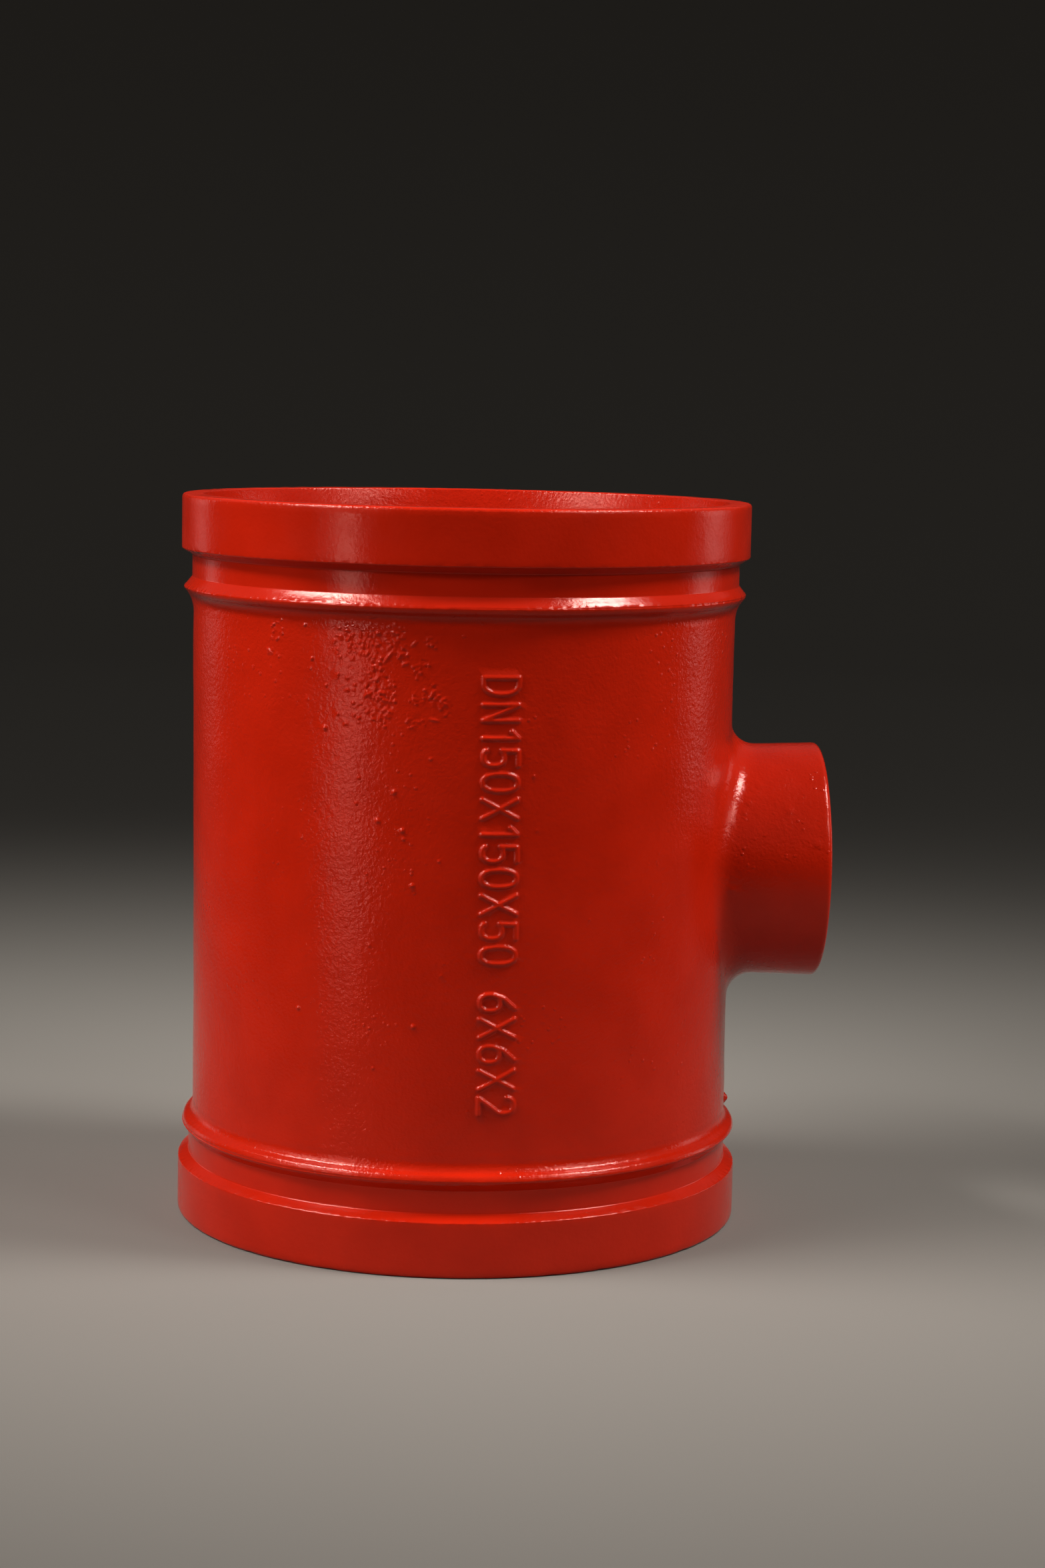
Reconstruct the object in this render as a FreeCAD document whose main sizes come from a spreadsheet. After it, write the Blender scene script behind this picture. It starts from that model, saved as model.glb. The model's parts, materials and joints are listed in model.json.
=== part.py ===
"""Grooved reducing tee: one iron casting with two grooved run ends and a threaded side outlet.

Millimetres, +Z up. The run stands along Z with its lower end face at Z = 0, and the outlet points
along +X from the middle of the run.
"""
import FreeCAD, Part
import math
import os
import Sketcher

# Each size that can be set by itself, in millimetres.
SIZES = {
    "centre_to_end": 105.0,      # tee centre to either run end face
    "band_dia": 165.1,           # outside of the run ends, where a gasket seals
    "band_width": 15.6,          # end face to the near edge of the groove
    "band_edge": 1.0,            # rounding of the end face's outer edge
    "groove_depth": 3.05,        # below the band
    "groove_floor": 6.4,         # width of the groove's flat floor
    "groove_flank": 1.8,         # axial run of the groove's sloping side below the band
    "body_step": 3.8,            # how far the body lies below the band
    "bead_rise": 2.85,           # low ring between groove and body, above the body
    "bead_flank": 2.6,           # axial run of its slope out of the groove
    "bead_crest": 0.5,
    "bead_sweep": 11.0,          # hollow radius from the bead down to the body
    "corner_round": 0.5,         # painted corners of the groove and the bead
    "body_wall": 5.35,
    "mouth_widening": 2.9,       # the waterway's radius grows by this at the run ends
    "mouth_depth": 14.0,
    "mouth_blend": 12.0,         # radius where the mouth's taper meets the waterway
    "mouth_edge": 0.6,
    "outlet_height": 26.25,      # from the body's surface to the outlet's face
    "outlet_wall": 6.2,          # around the thread's core, at the outlet's face
    "outlet_flare": 0.028,       # growth of the outlet's radius for each millimetre outwards
    "outlet_fillet": 7.5,        # sweep where the outlet grows out of the body
    "outlet_edge": 1.5,
    "thread_core_dia": 56.6,     # drilled size for a 2 inch taper pipe thread
    "thread_lead_in": 2.2,       # countersink at the thread's mouth, at 45 degrees
    "passage_length": 5.6,       # cored hole from the waterway to the thread's core
    "passage_step": 1.3,         # how far the cored hole lies inside the thread's core
    "passage_edge": 2.2,         # rounding where the passage opens into the waterway
}
NODE = "tee_body"
TOUCH = 0.02                     # how near a point counts as lying on a surface


class Size:
    """A size held twice over: its number, and the sheet formula that drives it."""

    def __init__(self, number, formula):
        self.number = number
        self.formula = formula

    def joined(self, other, sign, number):
        text = other.formula if isinstance(other, Size) else str(other)
        return Size(number, f"({self.formula} {sign} {text})")

    def __add__(self, other):
        return self.joined(other, "+", self.number + other.number)

    def __sub__(self, other):
        return self.joined(other, "-", self.number - other.number)

    def __mul__(self, other):
        number = other.number if isinstance(other, Size) else other
        return self.joined(other, "*", self.number * number)

    def __truediv__(self, count):
        return self.joined(count, "/", self.number / count)

    def root(self):
        return Size(math.sqrt(self.number), f"sqrt({self.formula})")


def size_sheet(doc):
    """The driving sizes in a sheet, and each of them as a Size."""
    sheet = doc.addObject("Spreadsheet::Sheet", "sizes")
    sizes = {}
    for row, (alias, value) in enumerate(SIZES.items(), start=1):
        sheet.set(f"A{row}", alias)
        sheet.set(f"B{row}", str(value))
        sheet.setAlias(f"B{row}", alias)
        sizes[alias] = Size(value, f"sizes.{alias}")
    doc.recompute()
    return sizes


def places_from(sizes):
    """The radii about the two axes, and the places along them, that follow from the sizes."""
    band = sizes["band_dia"] / 2
    barrel = band - sizes["body_step"]
    bead = barrel + sizes["bead_rise"]
    bore = barrel - sizes["body_wall"]
    core = sizes["thread_core_dia"] / 2
    floor_start = sizes["band_width"] + sizes["groove_flank"]
    floor_end = floor_start + sizes["groove_floor"]
    groove_end = floor_end + sizes["bead_flank"]
    bead_end = groove_end + sizes["bead_crest"]
    # The hollow sweep leaves the bead's crest and runs out tangent to the straight barrel.
    drop = sizes["bead_rise"]
    sweep_run = (sizes["bead_sweep"] * drop * 2 - drop * drop).root()
    return {
        "band": band,
        "groove": band - sizes["groove_depth"],
        "bead": bead,
        "barrel": barrel,
        "bore": bore,
        "mouth": bore + sizes["mouth_widening"],
        "groove_start": sizes["band_width"],
        "floor_start": floor_start,
        "floor_end": floor_end,
        "groove_end": groove_end,
        "bead_end": bead_end,
        "sweep_end": bead_end + sweep_run,
        "middle": sizes["centre_to_end"],
        "run_length": sizes["centre_to_end"] * 2,
        "core": core,
        "passage": core - sizes["passage_step"],
        "outlet": core + sizes["outlet_wall"],
        "core_start": bore + sizes["passage_length"],
        "reach": barrel + sizes["outlet_height"],
    }


def origin_plane(body, role):
    return next(item for item in body.Origin.OriginFeatures if item.Role == role)


def new_sketch(body, name, role):
    """An empty sketch on one of the body's own origin planes."""
    sketch = body.newObject("Sketcher::SketchObject", name)
    sketch.AttachmentSupport = (origin_plane(body, role), "")
    sketch.MapMode = "FlatFace"
    return sketch


def bind(sketch, name, size, constraint):
    """Adds a dimension to a sketch and ties it to the sheet."""
    index = sketch.addConstraint(constraint)
    sketch.renameConstraint(index, name)
    sketch.setExpression(f"Constraints.{name}", size.formula)


def hollow_arc(start, end, radius):
    """An arc of the given radius that sags towards the sketch's vertical axis."""
    chord = end - start
    rise = math.sqrt(radius ** 2 - (chord.Length / 2) ** 2)
    outward = FreeCAD.Vector(chord.y, -chord.x, 0).normalize()
    if outward.x < 0:
        outward = outward * -1
    centre = (start + end) / 2 + outward * rise
    return Part.Arc(start, centre - outward * radius, end)


def closed_profile(sketch, corners, hollows=None):
    """A closed outline with every corner tied to its place by formulas.

    A corner is a pair of Sizes; None stands for a coordinate on the sketch's own axis. The edge that
    leaves a corner named in hollows is an arc of that radius, and the others are straight.
    """
    hollows = hollows or {}
    spots = []
    for across, along in corners:
        spot = FreeCAD.Vector(across.number if across else 0, along.number if along else 0, 0)
        spots.append(spot)
    count = len(spots)
    starts, ends = [], []
    for index, start in enumerate(spots):
        end = spots[(index + 1) % count]
        if index in hollows:
            edge = sketch.addGeometry(hollow_arc(start, end, hollows[index].number))
        else:
            edge = sketch.addGeometry(Part.LineSegment(start, end))
        forward = (sketch.getPoint(edge, 1) - start).Length < TOUCH
        starts.append((edge, 1 if forward else 2))
        ends.append((edge, 2 if forward else 1))
    for index, (across, along) in enumerate(corners):
        corner = starts[index]
        sketch.addConstraint(Sketcher.Constraint("Coincident", *ends[index - 1], *corner))
        if across:
            distance = Sketcher.Constraint("DistanceX", *corner, across.number)
            bind(sketch, f"across_{index}", across, distance)
        if along:
            distance = Sketcher.Constraint("DistanceY", *corner, along.number)
            bind(sketch, f"along_{index}", along, distance)
        if not across and not along:
            sketch.addConstraint(Sketcher.Constraint("Coincident", *corner, -1, 1))
        elif not across:
            sketch.addConstraint(Sketcher.Constraint("PointOnObject", *corner, -2))
        elif not along:
            sketch.addConstraint(Sketcher.Constraint("PointOnObject", *corner, -1))
    for index, radius in hollows.items():
        arc = Sketcher.Constraint("Radius", starts[index][0], radius.number)
        bind(sketch, f"hollow_{index}", radius, arc)


def turned(body, kind, name, sketch, axis):
    """A full turn of a sketch about one of its axes, added or cut away."""
    feature = body.newObject(kind, name)
    feature.Profile = sketch
    feature.ReferenceAxis = (sketch, [axis])
    feature.Angle = 360
    sketch.Visibility = False
    body.Document.recompute()
    return feature


def mirrored(body, name, feature, height):
    """A copy of a feature on the far side of a level plane."""
    plane = body.newObject("PartDesign::Plane", f"{name}_plane")
    plane.AttachmentSupport = (origin_plane(body, "XY_Plane"), "")
    plane.MapMode = "FlatFace"
    plane.setExpression(".AttachmentOffset.Base.z", height.formula)
    plane.Visibility = False
    mirror = body.newObject("PartDesign::Mirrored", name)
    mirror.Originals = [feature]
    mirror.MirrorPlane = (plane, [""])
    body.Tip = mirror
    body.Document.recompute()


def run_outside(body, sizes, places):
    """The run's outside: half of it turned about Z, with its mirror image above."""
    crest_end = (places["bead"], places["bead_end"])
    corners = [
        (None, None),
        (places["band"], None),
        (places["band"], places["groove_start"]),
        (places["groove"], places["floor_start"]),
        (places["groove"], places["floor_end"]),
        (places["bead"], places["groove_end"]),
        crest_end,
        (places["barrel"], places["sweep_end"]),
        (places["barrel"], places["middle"]),
        (None, places["middle"]),
    ]
    sketch = new_sketch(body, "run_outline", "YZ_Plane")
    closed_profile(sketch, corners, hollows={corners.index(crest_end): sizes["bead_sweep"]})
    half = turned(body, "PartDesign::Revolution", "run_half", sketch, "V_Axis")
    mirrored(body, "run_both_ends", half, places["middle"])


def outlet_sketch(body, name, places):
    """A sketch in the XZ plane whose own origin is the tee centre."""
    sketch = new_sketch(body, name, "XZ_Plane")
    sketch.setExpression(".AttachmentOffset.Base.y", places["middle"].formula)
    return sketch


def outlet_outside(body, sizes, places):
    """The outlet's outside, slightly wider towards its face."""
    reach = places["reach"]
    sketch = outlet_sketch(body, "outlet_outline", places)
    closed_profile(sketch, [
        (None, None),
        (reach, None),
        (reach, places["outlet"]),
        (None, places["outlet"] - reach * sizes["outlet_flare"]),
    ])
    turned(body, "PartDesign::Revolution", "outlet_boss", sketch, "H_Axis")


def waterway(body, sizes, places):
    """The passage through the run, opened out at both ends."""
    depth = sizes["mouth_depth"]
    length = places["run_length"]
    sketch = new_sketch(body, "waterway_outline", "YZ_Plane")
    closed_profile(sketch, [
        (None, None),
        (places["mouth"], None),
        (places["bore"], depth),
        (places["bore"], length - depth),
        (places["mouth"], length),
        (None, length),
    ])
    turned(body, "PartDesign::Groove", "waterway", sketch, "V_Axis")


def outlet_bore(body, sizes, places):
    """The outlet's cored passage, drilled out for its thread and countersunk at the face."""
    core = places["core"]
    reach = places["reach"]
    start = places["core_start"]
    lead_in = sizes["thread_lead_in"]
    sketch = outlet_sketch(body, "outlet_bore_outline", places)
    closed_profile(sketch, [
        (None, None),
        (reach, None),
        (reach, core + lead_in),
        (reach - lead_in, core),
        (start, core),
        (start - sizes["passage_step"], places["passage"]),
        (None, places["passage"]),
    ])
    turned(body, "PartDesign::Groove", "outlet_bore", sketch, "H_Axis")


def edge_names(shape, belongs):
    """The names of the edges of a shape that lie wholly where the test says."""
    names = []
    for number, edge in enumerate(shape.Edges, start=1):
        first, last = edge.ParameterRange
        spots = [edge.valueAt(first + (last - first) * step / 6) for step in range(7)]
        if all(belongs(spot) for spot in spots):
            names.append(f"Edge{number}")
    return names


def rounded(body, name, belongs, radius):
    """Rounds the edges of the body so far that lie where the test says."""
    base = body.Tip
    names = edge_names(base.Shape, belongs)
    if not names:
        raise RuntimeError(f"{name} finds no edge to round")
    feature = body.newObject("PartDesign::Fillet", name)
    feature.Base = (base, names)
    feature.setExpression("Radius", radius.formula)
    body.Document.recompute()


def near(value, target):
    return abs(value - target) < TOUCH


def ring_on_run(radius, from_end, run_length):
    """A test for a circle about Z that lies the same way in from either run end."""
    def belongs(spot):
        at_height = near(spot.z, from_end) or near(spot.z, run_length - from_end)
        return at_height and near(math.hypot(spot.x, spot.y), radius)
    return belongs


def ring_on_outlet(radius, reach, height):
    """A test for a circle about the outlet's axis."""
    def belongs(spot):
        from_axis = math.hypot(spot.y, spot.z - height)
        return near(spot.x, reach) and near(from_axis, radius)
    return belongs


def saddle(run_radius, outlet_radius, height):
    """A test for the curve where the outlet, outside or inside, meets a cylinder about Z."""
    def belongs(spot):
        in_outlet = math.hypot(spot.y, spot.z - height) < outlet_radius + TOUCH
        return spot.x > 0 and in_outlet and near(math.hypot(spot.x, spot.y), run_radius)
    return belongs


def build_tee(doc, sizes):
    """The casting: its outside first, then its passages."""
    body = doc.addObject("PartDesign::Body", NODE)
    body.Label = NODE
    body.Placement = FreeCAD.Placement()
    places = places_from(sizes)
    at = {name: place.number for name, place in places.items()}

    run_outside(body, sizes, places)
    corners = (
        ("band_corner", "band", "groove_start"),
        ("bead_near_edge", "bead", "groove_end"),
        ("bead_far_edge", "bead", "bead_end"),
    )
    for name, radius, from_end in corners:
        ring = ring_on_run(at[radius], at[from_end], at["run_length"])
        rounded(body, name, ring, sizes["corner_round"])
    end_ring = ring_on_run(at["band"], 0, at["run_length"])
    rounded(body, "end_face_edge", end_ring, sizes["band_edge"])

    outlet_outside(body, sizes, places)
    root = saddle(at["barrel"], at["outlet"], at["middle"])
    rounded(body, "outlet_root", root, sizes["outlet_fillet"])
    outlet_ring = ring_on_outlet(at["outlet"], at["reach"], at["middle"])
    rounded(body, "outlet_face_edge", outlet_ring, sizes["outlet_edge"])

    waterway(body, sizes, places)
    mouth_ring = ring_on_run(at["mouth"], 0, at["run_length"])
    rounded(body, "mouth_edge", mouth_ring, sizes["mouth_edge"])
    throat_ring = ring_on_run(at["bore"], SIZES["mouth_depth"], at["run_length"])
    rounded(body, "mouth_blend", throat_ring, sizes["mouth_blend"])

    outlet_bore(body, sizes, places)
    port = saddle(at["bore"], at["passage"], at["middle"])
    rounded(body, "passage_edge", port, sizes["passage_edge"])
    return body


def check(doc, bodies):
    """Stops on any object that failed or any piece without a sound shape."""
    for item in doc.Objects:
        if "Invalid" in item.State or "Error" in item.State:
            raise RuntimeError(f"{item.Label} failed: {item.State}")
    for body in bodies:
        if body.Shape.isNull() or not body.Shape.isValid():
            raise RuntimeError(f"{body.Label} has no valid shape")
        if len(body.Shape.Solids) != 1:
            raise RuntimeError(f"{body.Label} is not one solid")


def main():
    doc = FreeCAD.newDocument("grooved_tee")
    sizes = size_sheet(doc)
    bodies = [build_tee(doc, sizes)]
    doc.recompute()
    check(doc, bodies)
    os.makedirs("parts", exist_ok=True)
    for body in bodies:
        body.Shape.exportStep(os.path.join("parts", f"{body.Label}.step"))
        print(f"{body.Label}: {body.Shape.Volume:.0f} mm3, {len(body.Shape.Faces)} faces")


main()
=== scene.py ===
"""Looks of the grooved reducing tee: one iron casting under red enamel, seen from its side.

The casting's skin is built in millimetres, as one closed surface, and becomes metres when its mesh is
made. The run stands along +Z with its lower end face at Z = 0, and the outlet points along +X.
"""
import json
import math
import random

import bmesh
import bpy
import numpy as np
from mathutils import Matrix, Vector, noise
from mathutils.geometry import delaunay_2d_cdt


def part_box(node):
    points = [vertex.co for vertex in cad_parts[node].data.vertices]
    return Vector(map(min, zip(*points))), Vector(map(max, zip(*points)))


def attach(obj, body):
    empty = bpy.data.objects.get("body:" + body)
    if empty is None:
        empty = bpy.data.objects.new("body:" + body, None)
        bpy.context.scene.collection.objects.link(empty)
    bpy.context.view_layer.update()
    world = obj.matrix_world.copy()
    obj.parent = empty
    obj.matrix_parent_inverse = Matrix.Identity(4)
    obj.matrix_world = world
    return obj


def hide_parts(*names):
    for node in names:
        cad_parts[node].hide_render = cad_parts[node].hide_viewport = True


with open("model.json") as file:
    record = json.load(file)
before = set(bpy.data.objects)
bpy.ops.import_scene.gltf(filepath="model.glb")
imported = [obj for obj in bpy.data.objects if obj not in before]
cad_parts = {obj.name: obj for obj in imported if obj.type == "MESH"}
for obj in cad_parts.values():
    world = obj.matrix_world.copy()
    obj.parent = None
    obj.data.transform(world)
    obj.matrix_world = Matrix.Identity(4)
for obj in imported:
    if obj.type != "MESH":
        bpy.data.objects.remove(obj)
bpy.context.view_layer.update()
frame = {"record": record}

MM = 0.001

# Sizes that the frame gives, in millimetres.
mounts = {mount["name"]: mount for mount in frame["record"]["mounts"]}
high_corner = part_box("tee_body")[1]
RUN = high_corner.z / MM
REACH = high_corner.x / MM
BAND = mounts["run_end_lower"]["dims"]["r_mm"]
GROOVE = mounts["groove_lower"]["dims"]["r_mm"]
CORE = mounts["outlet_thread"]["dims"]["r_mm"]
MIDDLE = RUN / 2

# The run's outside, in millimetres.
BAND_WIDTH = 15.6
BAND_EDGE = 1.0
GROOVE_FLANK = 1.8
GROOVE_FLOOR = 6.4
GROOVE_CORNER = 0.6
BODY = BAND - 3.8
BEAD_FLANK = 2.6
BEAD_RISE = 2.85
BEAD_CREST = 0.5
BEAD_SWEEP = 11.0
SWEEP_STEPS = 13
PAINTED_CORNER = 0.55
FLOOR_START = BAND_WIDTH + GROOVE_FLANK
FLOOR_END = FLOOR_START + GROOVE_FLOOR
GROOVE_END = FLOOR_END + BEAD_FLANK
BEAD_END = GROOVE_END + BEAD_CREST
SWEEP_END = BEAD_END + math.sqrt(2 * BEAD_SWEEP * BEAD_RISE - BEAD_RISE ** 2)

# The waterway, in millimetres.
BORE = BODY - 5.35
MOUTH = BORE + 2.9
MOUTH_DEPTH = 14.0
MOUTH_BLEND = 12.0
MOUTH_EDGE = 0.6
FACE_MIDDLE = (BAND + MOUTH) / 2
FACE_STEP = 1.2  # from there to the waterway's first ring, on the same face

# The outlet, in millimetres.
OUTLET = CORE + 6.2
OUTLET_FLARE = 0.028
OUTLET_FILLET = 7.5
OUTLET_EDGE = 1.5
OUTLET_RIM = OUTLET - 2.9  # its outside ends on its face, at this radius
COUNTERSINK = 2.2
SINK = CORE + COUNTERSINK  # the countersink's radius on that face
SINK_EDGE = 0.35
PASSAGE = CORE - 1.3
PASSAGE_EDGE = 2.2
CORE_START = BORE + 5.6
PITCH = 2.309  # a 2 inch taper pipe thread, 11 turns to the inch
THREAD_HEIGHT = 1.48
TAPER = 1 / 32  # of the thread's radius

# How finely the skin is divided.
COLUMNS = 240  # around the run's outside; the waterway has half as many
FINE = 6  # a cell under small relief is divided this many times each way
ROW = 2.0  # height of a row on the body
BORE_ROW = 4.5
END_SPACING = 1.5  # between points along the run's machined ends and beads
RIM_SPACING = 1.3  # between points along the outlet's rim
OUTLET_COLUMNS = 240  # around the outlet's outside; its bore has half as many
OUTLET_ROWS = 24
THREAD_ROWS = 84
FILLET_STEPS = 9
PORT_STEPS = 5
ROLL_TRIES = 12  # rounds that settle where a rolled fillet lies
HOLE_COLUMNS = 22  # half the width, in columns, of the stretch around the outlet
HOLE_REACH = 48.0  # half its height
PORT_REACH = 0.8 * HOLE_REACH  # the same for the stretch around the port, inside
CLEARANCE = 0.7  # of a column, between that stretch's own points and the outlet

# How rough the skin is: nought on a machined face and one on the bare casting.
RIM_CAST = 0.3
MOUTH_CAST = 0.2
PASSAGE_CAST = 0.5
DEEPER_CAST = 0.7
BORE_CAST = 0.8
CAST_BLEND = 0.8  # millimetres over which a machined face gives way to the casting

FACING = -90.0  # the bearing that the photograph looks at, in degrees about Z
SEAM = math.pi / 2  # the body is unrolled from this bearing, at the back


def smooth(share):
    """Nought to one without corners, for shares that run past either end too."""
    share = np.clip(share, 0, 1)
    return share * share * (3 - 2 * share)


def from_nearest_end(height):
    return np.minimum(height, RUN - height)


def around_at(bearing):
    """Where a bearing from the facing one lies on the unrolled body."""
    return math.radians(FACING + bearing) * BODY


# The skin

class Skin:
    """Points and faces gathered patch by patch; cast says how rough the casting is at a point."""

    def __init__(self):
        self.points = []
        self.cast = []
        self.faces = []

    def add(self, points, cast):
        first = len(self.points)
        self.points.extend(tuple(point) for point in points)
        self.cast.extend([cast] * len(points))
        return list(range(first, len(self.points)))

    def bridge(self, ring, other):
        count = len(ring)
        for index in range(count):
            ahead = (index + 1) % count
            self.faces.append((ring[index], ring[ahead], other[ahead], other[index]))

    def join_halved(self, wide, narrow):
        """Faces between a ring and one with half as many points."""
        for index in range(len(narrow)):
            self.faces.append((
                wide[2 * index],
                wide[2 * index + 1],
                wide[(2 * index + 2) % len(wide)],
                narrow[(index + 1) % len(narrow)],
                narrow[index],
            ))


def unit(vector):
    return vector / np.linalg.norm(vector)


def rounded(before, corner, after, rounding, steps):
    """Points along the arc that rounds one corner of a line."""
    back = unit(before - corner)
    ahead = unit(after - corner)
    half = math.acos(float(np.clip(back @ ahead, -1, 1))) / 2
    centre = corner + unit(back + ahead) * rounding / math.sin(half)
    first = corner + back * rounding / math.tan(half) - centre
    last = corner + ahead * rounding / math.tan(half) - centre
    turn = math.pi - 2 * half
    arc = []
    for step in range(steps + 1):
        share = step / steps
        blend = first * math.sin((1 - share) * turn) + last * math.sin(share * turn)
        arc.append(centre + blend / math.sin(turn))
    return arc


def softened(corners, spacing, steps=4):
    """Points along a line of (radius, height, rounding) corners: round corners, even stretches."""
    spots = [np.array(corner[:2], float) for corner in corners]
    line = [spots[0]]
    for index in range(1, len(spots) - 1):
        before, corner, after = spots[index - 1:index + 2]
        rounding = corners[index][2]
        line.extend(rounded(before, corner, after, rounding, steps) if rounding else [corner])
    line.append(spots[-1])
    even = [line[0]]
    for start, end in zip(line, line[1:]):
        parts = max(1, round(float(np.linalg.norm(end - start)) / spacing))
        even.extend(start + (end - start) * part / parts for part in range(1, parts + 1))
    return even


def with_mirror(half):
    """A run profile from one end to the other, from the half below the middle."""
    upper = [np.array((radius, RUN - height)) for radius, height in reversed(half[:-1])]
    return np.array(half + upper)


def run_profile():
    """The outside of the run, from the lower end face round to the upper one."""
    sweep_turn = math.acos(1 - BEAD_RISE / BEAD_SWEEP)
    sweep = []
    for step in range(SWEEP_STEPS - 1, 0, -1):
        turn = sweep_turn * step / SWEEP_STEPS
        radius = BODY + BEAD_SWEEP * (1 - math.cos(turn))
        sweep.append((radius, SWEEP_END - BEAD_SWEEP * math.sin(turn), 0))
    ends = softened([
        (FACE_MIDDLE, 0, 0),
        (BAND, 0, BAND_EDGE),
        (BAND, BAND_WIDTH, PAINTED_CORNER),
        (GROOVE, FLOOR_START, GROOVE_CORNER),
        (GROOVE, FLOOR_END, GROOVE_CORNER),
        (BODY + BEAD_RISE, GROOVE_END, PAINTED_CORNER),
        (BODY + BEAD_RISE, BEAD_END, PAINTED_CORNER),
        *sweep,
        (BODY, SWEEP_END, 0),
    ], END_SPACING)
    barrel = softened([(BODY, SWEEP_END, 0), (BODY, MIDDLE, 0)], ROW)
    return with_mirror(ends + barrel[1:])


def waterway_profile():
    """The inside of the run, from the lower end face to the upper one."""
    half = softened([
        (FACE_MIDDLE - FACE_STEP, 0, 0),
        (MOUTH, 0, MOUTH_EDGE),
        (BORE, MOUTH_DEPTH, MOUTH_BLEND),
        (BORE, MIDDLE, 0),
    ], BORE_ROW)
    return with_mirror(half)


def on_cylinder(radius, turn, height):
    return radius * math.cos(turn), radius * math.sin(turn), height


class Turned:
    """A profile turned about Z into a grid of cells, some of them open or finely divided.

    cast_of gives how rough the casting is at a height.
    """

    def __init__(self, skin, profile, columns, cast_of):
        self.skin = skin
        self.profile = profile
        self.columns = columns
        self.cast_of = cast_of
        self.rows = len(profile) - 1
        self.known = {}

    def corner(self, across, along):
        """The point at a place counted in fine steps; it is made when first asked for."""
        across %= self.columns * FINE
        key = (across, along)
        if key not in self.known:
            row, part = divmod(along, FINE)
            here = self.profile[row]
            if part:
                here = here + (self.profile[row + 1] - here) * part / FINE
            turn = 2 * math.pi * across / (self.columns * FINE)
            spot = on_cylinder(here[0], turn, here[1])
            self.known[key] = self.skin.add([spot], self.cast_of(here[1]))[0]
        return self.known[key]

    def ring(self, row):
        return [self.corner(column * FINE, row * FINE) for column in range(self.columns)]

    def fill(self, hole, fine):
        """Adds every cell but those in the hole, and divides those in fine."""
        for row in range(self.rows):
            for column in range(self.columns):
                if (column, row) in hole:
                    continue
                if (column, row) in fine:
                    self.divided(column, row)
                else:
                    self.plain(column, row, fine)

    def divided(self, column, row):
        for step in range(FINE):
            for rise in range(FINE):
                across, along = column * FINE + step, row * FINE + rise
                self.skin.faces.append((
                    self.corner(across, along),
                    self.corner(across + 1, along),
                    self.corner(across + 1, along + 1),
                    self.corner(across, along + 1),
                ))

    def plain(self, column, row, fine):
        """One face, which also takes in the points of any finely divided neighbour."""
        left, right = column * FINE, (column + 1) * FINE
        bottom, top = row * FINE, (row + 1) * FINE
        sides = (
            ((left, bottom), (1, 0), (column, row - 1)),
            ((right, bottom), (0, 1), ((column + 1) % self.columns, row)),
            ((right, top), (-1, 0), (column, row + 1)),
            ((left, top), (0, -1), ((column - 1) % self.columns, row)),
        )
        outline = []
        for (across, along), (step, rise), neighbour in sides:
            count = FINE if neighbour in fine else 1
            for part in range(count):
                outline.append(self.corner(across + step * part, along + rise * part))
        self.skin.faces.append(tuple(outline))

    def hole_cells(self, half_width, reach):
        """The cells around the outlet, the loop of corners around them and the corners inside it."""
        heights = self.profile[:, 1]
        first = int(np.searchsorted(heights, MIDDLE - reach))
        last = int(np.searchsorted(heights, MIDDLE + reach)) - 1
        cells = set()
        for column in range(-half_width, half_width):
            for row in range(first, last):
                cells.add((column % self.columns, row))
        loop = [(column, first) for column in range(-half_width, half_width)]
        loop += [(half_width, row) for row in range(first, last)]
        loop += [(column, last) for column in range(half_width, -half_width, -1)]
        loop += [(-half_width, row) for row in range(last, first, -1)]
        inside = []
        for column in range(-half_width + 1, half_width):
            inside.extend((column, row) for row in range(first + 1, last))
        return cells, loop, inside


def clear_corners(grid, spare, ring_flat, radius):
    """Turn and height of the spare corners that lie outside the ring and clear of it."""
    clearance = CLEARANCE * 2 * math.pi * radius / grid.columns
    ring_reach = np.hypot(ring_flat[:, 0], ring_flat[:, 1] - MIDDLE)
    kept = []
    for column, row in spare:
        turn, height = 2 * math.pi * column / grid.columns, grid.profile[row][1]
        gaps = ((ring_flat - (turn * radius, height)) ** 2).sum(1)
        beyond = math.hypot(turn * radius, height - MIDDLE) - ring_reach[np.argmin(gaps)]
        if beyond > 0 and np.sqrt(gaps.min()) > clearance:
            kept.append((turn, height))
    return kept


def closed_loop(first, count):
    """The edges of a loop of so many points, counted from the first."""
    return [(first + at, first + (at + 1) % count) for at in range(count)]


def stitched(skin, grid, hole_loop, spare, ring, radius, cast):
    """Fills the wall between a loop of grid corners and the ring where the outlet meets it."""
    loop = [grid.corner(column * FINE, row * FINE) for column, row in hole_loop]
    flat = []
    for index in loop + ring:
        x, y, z = skin.points[index]
        flat.append((math.atan2(y, x) * radius, z))
    kept = clear_corners(grid, spare, np.array(flat[len(loop):]), radius)
    flat.extend((turn * radius, height) for turn, height in kept)
    added = [on_cylinder(radius, turn, height) for turn, height in kept]
    indices = loop + ring + skin.add(added, cast)
    edges = closed_loop(0, len(loop)) + closed_loop(len(loop), len(ring))
    whole_hull, merge_under = 0, 1e-5
    spots = [Vector(place) for place in flat]
    result = delaunay_2d_cdt(spots, edges, [], whole_hull, merge_under, True)
    faces, origins = result[2], result[3]
    inner = set(range(len(loop), len(loop) + len(ring)))
    for face in faces:
        corners = [origins[corner][0] for corner in face]
        if not inner.issuperset(corners):
            skin.faces.append(tuple(indices[corner] for corner in corners))


# The outlet

TURNS = np.arange(OUTLET_COLUMNS) * 2 * math.pi / OUTLET_COLUMNS
BORE_TURNS = TURNS[::2]


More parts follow.
